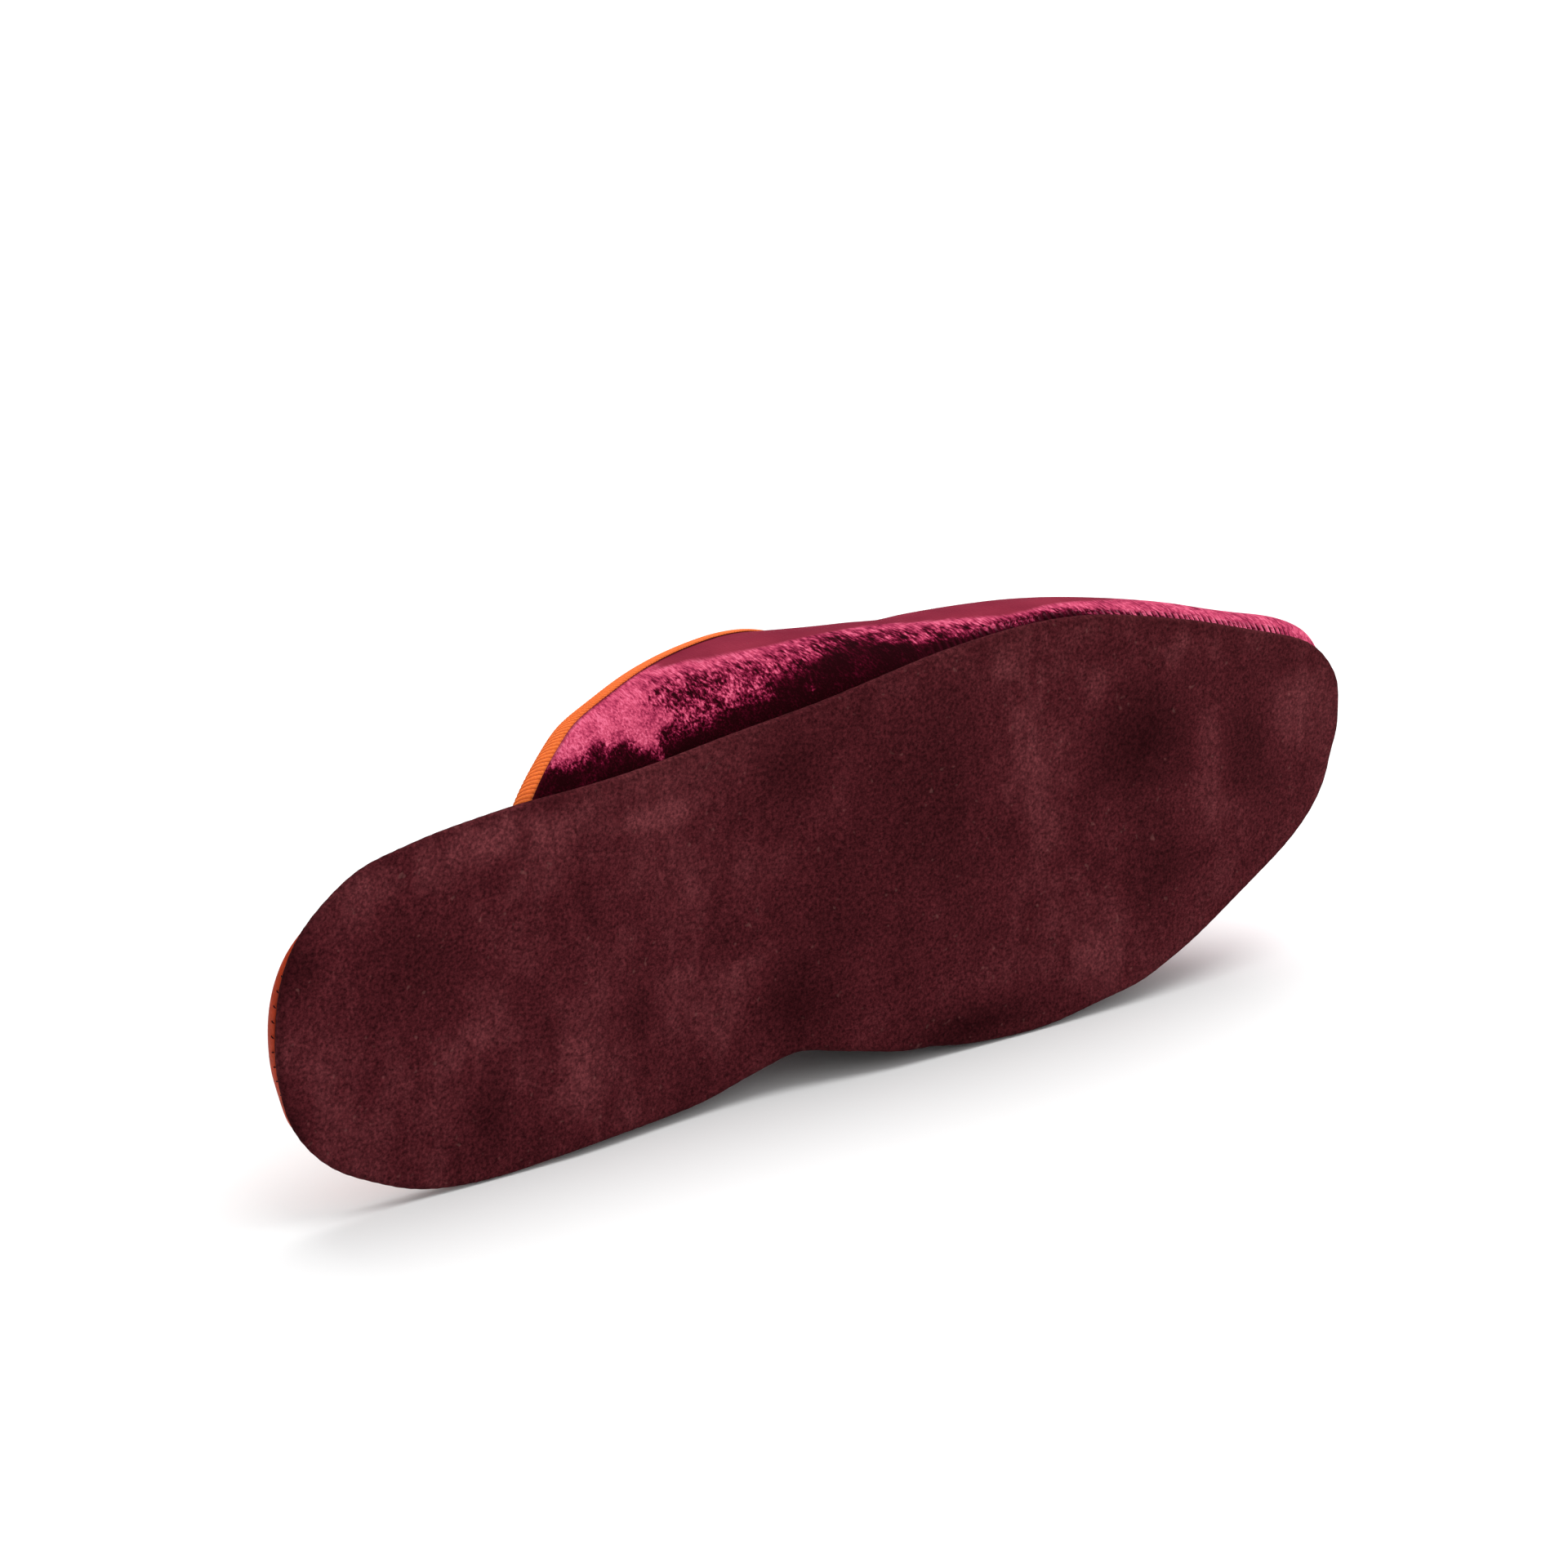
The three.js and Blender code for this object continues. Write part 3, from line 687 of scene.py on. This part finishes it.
# Grosgrain binding: the folded ribbon's section, as reach along the velvet, offset from its outside and
# share of the ribs
FACE = 0.7
BACK = -WALL - GAP - RIBBON_THICK
FOLD = -WALL / 2
NEAR_FOLD = 0.01
FLAT_END = {"face": FACE / 2, "back": BACK + 0.35}
RIBBON_SECTION = [
    {"reach": RIBBON_WIDTH - 0.3, "offset": 0.1, "rib": 0.0},
    {"reach": RIBBON_WIDTH - 0.2, "offset": 0.3, "rib": 0.3},
    {"reach": RIBBON_WIDTH - 0.5, "offset": FACE - 0.1, "rib": 1.0},
    {"reach": RIBBON_WIDTH * 0.3, "offset": FACE, "rib": 1.0},
    {"reach": 0.0, "offset": FACE - 0.05, "rib": 1.0},
    {"reach": -0.5, "offset": FACE - 0.3, "rib": 1.0},
    {"reach": -0.8, "offset": FACE - 0.8, "rib": 1.0},
    {"reach": -0.9, "offset": FOLD, "rib": 1.0},
    {"reach": -0.8, "offset": BACK + 0.95, "rib": 1.0},
    {"reach": -0.5, "offset": BACK + 0.35, "rib": 1.0},
    {"reach": 0.0, "offset": BACK, "rib": 1.0},
    {"reach": RIBBON_WIDTH * 0.4, "offset": BACK, "rib": 1.0},
    {"reach": RIBBON_WIDTH - 0.25, "offset": BACK, "rib": 1.0},
    {"reach": RIBBON_WIDTH + 0.1, "offset": -WALL - GAP - 0.3, "rib": 0.3},
    {"reach": RIBBON_WIDTH, "offset": -WALL - GAP, "rib": 0.0},
    {"reach": RIBBON_WIDTH * 0.5, "offset": -WALL - GAP, "rib": 0.0},
    {"reach": -GAP, "offset": -WALL - GAP * 0.5, "rib": 0.0},
    {"reach": -GAP, "offset": 0.05, "rib": 0.0},
    {"reach": RIBBON_WIDTH * 0.4, "offset": 0.1, "rib": 0.0},
    {"reach": RIBBON_WIDTH - 0.3, "offset": 0.1, "rib": 0.0},
]
fold_turns = np.linspace(0, np.pi, FOLD_STEPS)
fold_runs = lengths_along(*last_at(collar_station(fold_turns, 0.0), fold_turns, 0.0)[:3])
RIB_COUNT = round(fold_runs[-1] / RIB_PITCH)


def ribbon_place(along, around):
    row = np.rint(around * (len(RIBBON_SECTION) - 1)).astype(int)
    reach = np.array([part["reach"] for part in RIBBON_SECTION])[row]
    offset = np.array([part["offset"] for part in RIBBON_SECTION])[row]
    rib = np.array([part["rib"] for part in RIBBON_SECTION])[row]
    end = END_FACETS / (RIB_COUNT * RIB_FACETS)
    share = np.clip((along - end) / (1 - 2 * end), 0, 1)
    closed = (along < end / 2) | (along > 1 - end / 2)
    outwards = np.where(np.abs(offset - FOLD) < NEAR_FOLD, 0.0, np.sign(offset - FOLD))
    flat_end = np.where(outwards > 0, FLAT_END["face"], np.where(outwards < 0, FLAT_END["back"], offset))
    offset = np.where(closed, flat_end, offset)
    turn = np.interp(share * fold_runs[-1], fold_runs, fold_turns)
    offset = offset - RIDGE_FLUSH * np.maximum(offset, 0) * np.sin(turn) ** RIDGE_POWER
    cord = np.abs(np.sin(np.pi * share * RIB_COUNT)) ** RIB_FULLNESS
    swell = RIB_RISE * (cord - 1) * rib
    station = collar_station(turn, reach - np.where(outwards == 0, swell, 0.0))
    x, y, z, _ = last_at(station, turn, offset + swell * outwards)
    return placed(x, y, z), {"cord": cord}


# Whip stitches
def stitch_place(run):
    """One thread that rises from the sole's edge over the insole's edge and dips in again."""
    side = 1 if run > 0 else -1

    def place(along, around):
        arch = np.sin(np.pi * along)
        turn = 2 * np.pi * around
        radius = STITCH_THICK * (STITCH_TIP + (1 - STITCH_TIP) * arch ** 0.5)
        place_along = np.abs(run) + STITCH_SLANT * (along - 0.5) + radius * np.sin(turn)
        angle = np.interp(place_along, outline_runs, outline_angles)
        inset = insole_inset(outline_at(angle)[0], side) - STITCH_ARCH * arch - radius * np.cos(turn)
        x, z, _, _ = rim_at((1 - np.cos(angle)) / 2, side, inset)
        y = tread_height(x) + STITCH_LOW + (STITCH_HIGH - STITCH_LOW) * along
        return placed(x, y, z), {}
    return place


def whip_stitches(material):
    shape = bmesh.new()
    last_run = np.interp(RIBBON_ZONE["from"] / SOLE_LENGTH, (1 - np.cos(outline_angles)) / 2, outline_runs)
    for side in (-1, 1):
        for run in np.arange(STITCH_PITCH / 2, last_run, STITCH_PITCH):
            bent_grid(shape, STITCH_ALONG, STITCH_AROUND, stitch_place(side * run))
    return finished_piece("heel_stitches", shape, [material])


# Finishes
class Finish:
    """A material with its node tree at hand."""

    def __init__(self, name):
        self.material = bpy.data.materials.new(name)
        self.material.use_nodes = True
        self.nodes = self.material.node_tree.nodes
        self.links = self.material.node_tree.links
        self.shader = self.nodes["Principled BSDF"]
        self.coordinates = self.nodes.new("ShaderNodeTexCoord").outputs["Object"]

    def fill(self, socket, value):
        if isinstance(value, (int, float)):
            socket.default_value = value
        elif isinstance(value, tuple):
            socket.default_value = (*value, 1.0) if socket.type == "RGBA" else value
        else:
            self.links.new(value, socket)

    def attribute(self, name):
        made = self.nodes.new("ShaderNodeAttribute")
        made.attribute_name = name
        return made.outputs["Fac"]

    def noise(self, scale, detail, roughness, stretch=(1.0, 1.0, 1.0)):
        mapping = self.nodes.new("ShaderNodeMapping")
        self.fill(mapping.inputs["Vector"], self.coordinates)
        self.fill(mapping.inputs["Scale"], stretch)
        made = self.nodes.new("ShaderNodeTexNoise")
        self.fill(made.inputs["Vector"], mapping.outputs["Vector"])
        for key, value in (("Scale", scale), ("Detail", detail), ("Roughness", roughness)):
            self.fill(made.inputs[key], value)
        return made.outputs["Fac"]

    def pores(self, scale):
        made = self.nodes.new("ShaderNodeTexVoronoi")
        self.fill(made.inputs["Vector"], self.coordinates)
        self.fill(made.inputs["Scale"], scale)
        return made.outputs["Distance"]

    def math(self, operation, *values):
        made = self.nodes.new("ShaderNodeMath")
        made.operation = operation
        for socket, value in zip(made.inputs, values):
            self.fill(socket, value)
        return made.outputs[0]

    def swing(self, value, amount):
        """A noise turned into a swing about zero."""
        return self.math("MULTIPLY", self.math("SUBTRACT", value, 0.5), amount)

    def step(self, value, low, high):
        made = self.nodes.new("ShaderNodeMapRange")
        made.interpolation_type = "SMOOTHSTEP"
        self.fill(made.inputs["Value"], value)
        self.fill(made.inputs["From Min"], low)
        self.fill(made.inputs["From Max"], high)
        return made.outputs["Result"]

    def mix(self, factor, first, second, blend="MIX"):
        made = self.nodes.new("ShaderNodeMix")
        made.data_type = "RGBA"
        made.blend_type = blend
        colours = [socket for socket in made.inputs if socket.type == "RGBA"]
        self.fill(made.inputs[0], factor)
        self.fill(colours[0], first)
        self.fill(colours[1], second)
        return [socket for socket in made.outputs if socket.type == "RGBA"][0]

    def ramp(self, factor, stops):
        made = self.nodes.new("ShaderNodeValToRGB")
        elements = made.color_ramp.elements
        while len(elements) < len(stops):
            elements.new(0.5)
        for element, (position, colour) in zip(elements, stops):
            element.position = position
            element.color = (*colour, 1.0)
        self.fill(made.inputs["Fac"], factor)
        return made.outputs["Color"]

    def bump(self, height, distance, strength):
        made = self.nodes.new("ShaderNodeBump")
        self.fill(made.inputs["Height"], height)
        self.fill(made.inputs["Distance"], distance)
        self.fill(made.inputs["Strength"], strength)
        self.links.new(made.outputs["Normal"], self.shader.inputs["Normal"])

    def surface(self, colour, **constants):
        self.fill(self.shader.inputs["Base Color"], colour)
        for key, value in constants.items():
            self.fill(self.shader.inputs[key.replace("_", " ")], value)
        return self.material


def crushed_velvet():
    finish = Finish("crushed_velvet")
    tufts = finish.noise(scale=2300.0, detail=2.0, roughness=0.65, stretch=(1.0, 0.22, 1.0))
    flecks = finish.noise(scale=1600.0, detail=2.0, roughness=0.6, stretch=(1.0, 0.24, 1.0))
    clumps = finish.noise(scale=330.0, detail=3.0, roughness=0.65, stretch=(1.0, 0.45, 1.0))
    clouds = finish.noise(scale=90.0, detail=2.0, roughness=0.5)
    streaks = finish.noise(scale=260.0, detail=2.0, roughness=0.6, stretch=(1.0, 0.22, 1.0))
    broken = finish.math("ADD", finish.swing(flecks, 2.4), finish.swing(clumps, 0.9))
    # Tone of the pile: painted shade near the seam, painted sheen higher up, crushed mottling between
    tone = finish.math("MULTIPLY", finish.attribute("sheen_and_shade"), 0.84)
    tone = finish.math("ADD", tone, finish.math("MULTIPLY", broken, finish.attribute("mottle")))
    for pattern, amount in ((clouds, 0.3), (streaks, 0.55), (clumps, 0.35), (tufts, 1.1)):
        tone = finish.math("ADD", tone, finish.swing(pattern, amount))
    colour = finish.ramp(tone, VELVET_SHADE_TO_SHEEN_TONES)
    # Painted grazing sheen high on the upper, with a ragged lower edge
    ragged = finish.math("ADD", finish.attribute("grazing_sheen"), finish.swing(clumps, 0.5))
    grazing_sheen = finish.step(ragged, 0.2, 0.8)
    colour = finish.mix(grazing_sheen, colour, finish.ramp(clouds, GRAZING_SHEEN_TONES))
    # Painted highlight on the tops of the toe seam's tufts
    tuft_highlight_mask = finish.step(finish.attribute("gather"), 0.65, 0.95)
    tuft_highlight_mask = finish.math("MULTIPLY", tuft_highlight_mask, finish.attribute("sheen_and_shade"))
    colour = finish.mix(finish.math("MULTIPLY", tuft_highlight_mask, 0.4), colour, TUFT_HIGHLIGHT)
    # Painted shade in the gaps between the toe seam's tufts
    tuft_gap_shade_mask = finish.step(finish.attribute("gather"), 0.5, 0.26)
    colour = finish.mix(tuft_gap_shade_mask, colour, TUFT_GAP_SHADE)
    # Painted shade along the velvet under the ribbon's edge
    collar_shade_mask = finish.step(finish.attribute("collar"), RIBBON_WIDTH + 0.2, RIBBON_WIDTH - 0.15)
    colour = finish.mix(finish.math("MULTIPLY", collar_shade_mask, 0.4), colour, COLLAR_SHADE)
    shaded = finish.math("MULTIPLY", finish.attribute("floor"), 0.85)
    colour = finish.mix(shaded, colour, VELVET_IN_SHADE)
    finish.bump(tufts, PILE_RELIEF, 0.5)
    return finish.surface(colour, Roughness=0.8, Specular_IOR_Level=0.01, Sheen_Weight=0.04,
                          Sheen_Roughness=0.4, Sheen_Tint=(1.0, 0.2, 0.4))


def burgundy_suede():
    finish = Finish("burgundy_suede")
    clouds = finish.noise(scale=38.0, detail=4.0, roughness=0.6)
    strokes = finish.noise(scale=120.0, detail=5.0, roughness=0.7, stretch=(1.0, 1.0, 0.6))
    fibres = finish.noise(scale=1500.0, detail=3.0, roughness=0.75)
    patchy = finish.math("ADD", finish.math("MULTIPLY", strokes, 1.7), finish.math("SUBTRACT", clouds, 0.75))
    brushed = finish.math("MULTIPLY", finish.attribute("nap"), patchy)
    tone = finish.math("ADD", 0.52, finish.math("MULTIPLY", brushed, 0.7))
    tone = finish.math("ADD", tone, finish.swing(clouds, 0.5))
    tone = finish.math("ADD", tone, finish.swing(strokes, 0.6))
    colour = finish.ramp(tone, SUEDE_TONES)
    colour = finish.mix(1.0, colour, finish.ramp(fibres, SUEDE_GRAIN), "MULTIPLY")
    specks = finish.step(finish.noise(scale=640.0, detail=1.0, roughness=0.5), 0.70, 0.82)
    colour = finish.mix(finish.math("MULTIPLY", specks, 0.2), colour, SUEDE_LINT)
    # Painted shade along the sole's edges
    edge_shade_mask = finish.step(finish.attribute("rim_gap"), 0.5, 0.0)
    colour = finish.mix(finish.math("MULTIPLY", edge_shade_mask, 0.2), colour, SUEDE_EDGE_SHADE)
    finish.bump(fibres, NAP_RELIEF, 0.45)
    return finish.surface(colour, Roughness=0.95, Specular_IOR_Level=0.01, Sheen_Weight=0.02,
                          Sheen_Roughness=0.5, Sheen_Tint=(1.0, 0.5, 0.5))


def smooth_leather(name, tones):
    finish = Finish(name)
    clouds = finish.noise(scale=45.0, detail=3.0, roughness=0.55)
    creases = finish.noise(scale=420.0, detail=3.0, roughness=0.6)
    pores = finish.pores(scale=1300.0)
    colour = finish.ramp(clouds, tones)
    colour = finish.mix(1.0, colour, finish.ramp(creases, LEATHER_WEAR), "MULTIPLY")
    finish.bump(finish.math("ADD", pores, finish.math("MULTIPLY", creases, 0.6)), LEATHER_RELIEF, 0.35)
    return finish.surface(colour, Roughness=0.55, Specular_IOR_Level=0.2)


def orange_grosgrain():
    finish = Finish("orange_grosgrain")
    threads = finish.noise(scale=2600.0, detail=2.0, roughness=0.6)
    # Painted shade in the valleys between the ribs
    colour = finish.ramp(finish.attribute("cord"), RIBBON_VALLEY_SHADE_TONES)
    colour = finish.mix(1.0, colour, finish.ramp(threads, RIBBON_WEAVE), "MULTIPLY")
    finish.bump(threads, THREAD_RELIEF, 0.4)
    return finish.surface(colour, Roughness=0.6, Specular_IOR_Level=0.15, Sheen_Weight=0.03,
                          Sheen_Roughness=0.4)


def dark_thread():
    finish = Finish("dark_thread")
    twist = finish.noise(scale=2400.0, detail=2.0, roughness=0.6)
    colour = finish.ramp(twist, THREAD_TONES)
    finish.bump(twist, THREAD_RELIEF, 0.5)
    return finish.surface(colour, Roughness=0.8, Specular_IOR_Level=0.02)


# Pieces
outsole_place = plate_place(no_inset, under_roll=SOLE_TREAD_ROLL, top_roll=SOLE_TOP_ROLL, lowest=0.0,
                            edge=SOLE_THICK, crown=0.0, wavy=1.0)
outsole = skin("suede_outsole", PLATE_ALONG, PLATE_AROUND, outsole_place, [burgundy_suede()])
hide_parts("outsole")

insole_place = plate_place(insole_inset, under_roll=INSOLE_UNDER_ROLL, top_roll=INSOLE_TOP_ROLL,
                           lowest=SOLE_THICK + GAP, edge=INSOLE_EDGE, crown=INSOLE_CROWN, wavy=0.0)
insole_leather = smooth_leather("brick_orange_leather", INSOLE_TONES)
insole = skin("padded_insole", PLATE_ALONG, PLATE_AROUND, insole_place, [insole_leather])
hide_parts("insole")

lining_leather = smooth_leather("lining_leather", LINING_TONES)
upper = skin("velvet_upper", UPPER_ALONG, 2 * UPPER_AROUND + 1, velvet_place,
             [crushed_velvet(), lining_leather])
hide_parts("upper")

binding = skin("grosgrain_binding", RIB_COUNT * RIB_FACETS, len(RIBBON_SECTION) - 1, ribbon_place,
               [orange_grosgrain()])
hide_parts("collar_binding")

whip_stitches(dark_thread())


# Stage: pale floor, soft light from above and a white surround
def pale_floor(half_width, colour):
    shape = bmesh.new()
    bmesh.ops.create_grid(shape, x_segments=1, y_segments=1, size=half_width)
    mesh = bpy.data.meshes.new("floor")
    shape.to_mesh(mesh)
    shape.free()
    finish = Finish("pale_floor")
    mesh.materials.append(finish.surface(colour, Roughness=0.9, Specular_IOR_Level=0.1))
    floor = bpy.data.objects.new("floor", mesh)
    bpy.context.scene.collection.objects.link(floor)


def soft_light(name, place, aim, size, power):
    data = bpy.data.lights.new(name, "AREA")
    data.shape = "RECTANGLE"
    data.size, data.size_y = size
    data.energy = power
    light = bpy.data.objects.new(name, data)
    bpy.context.scene.collection.objects.link(light)
    light.location = place
    light.rotation_euler = (Vector(place) - Vector(aim)).to_track_quat("Z", "Y").to_euler()


def white_surround(strength, lean):
    """White from all sides, stronger on the side that lean points to."""
    world = bpy.data.worlds.new("white_surround")
    world.use_nodes = True
    nodes, links = world.node_tree.nodes, world.node_tree.links
    place = nodes.new("ShaderNodeTexCoord")
    facing = nodes.new("ShaderNodeVectorMath")
    facing.operation = "DOT_PRODUCT"
    facing.inputs[1].default_value = lean
    links.new(place.outputs["Generated"], facing.inputs[0])
    level = nodes.new("ShaderNodeMath")
    level.operation = "ADD"
    level.inputs[1].default_value = strength
    links.new(facing.outputs["Value"], level.inputs[0])
    background = nodes["Background"]
    background.inputs["Color"].default_value = (1.0, 1.0, 1.0, 1.0)
    links.new(level.outputs["Value"], background.inputs["Strength"])
    bpy.context.scene.world = world


pale_floor(FLOOR_HALF_WIDTH, FLOOR_COLOUR)
soft_light("overhead_softbox", **OVERHEAD_SOFTBOX)
soft_light("front_fill", **FRONT_FILL)
white_surround(**SURROUND)
bpy.context.scene.view_settings.view_transform = "Standard"
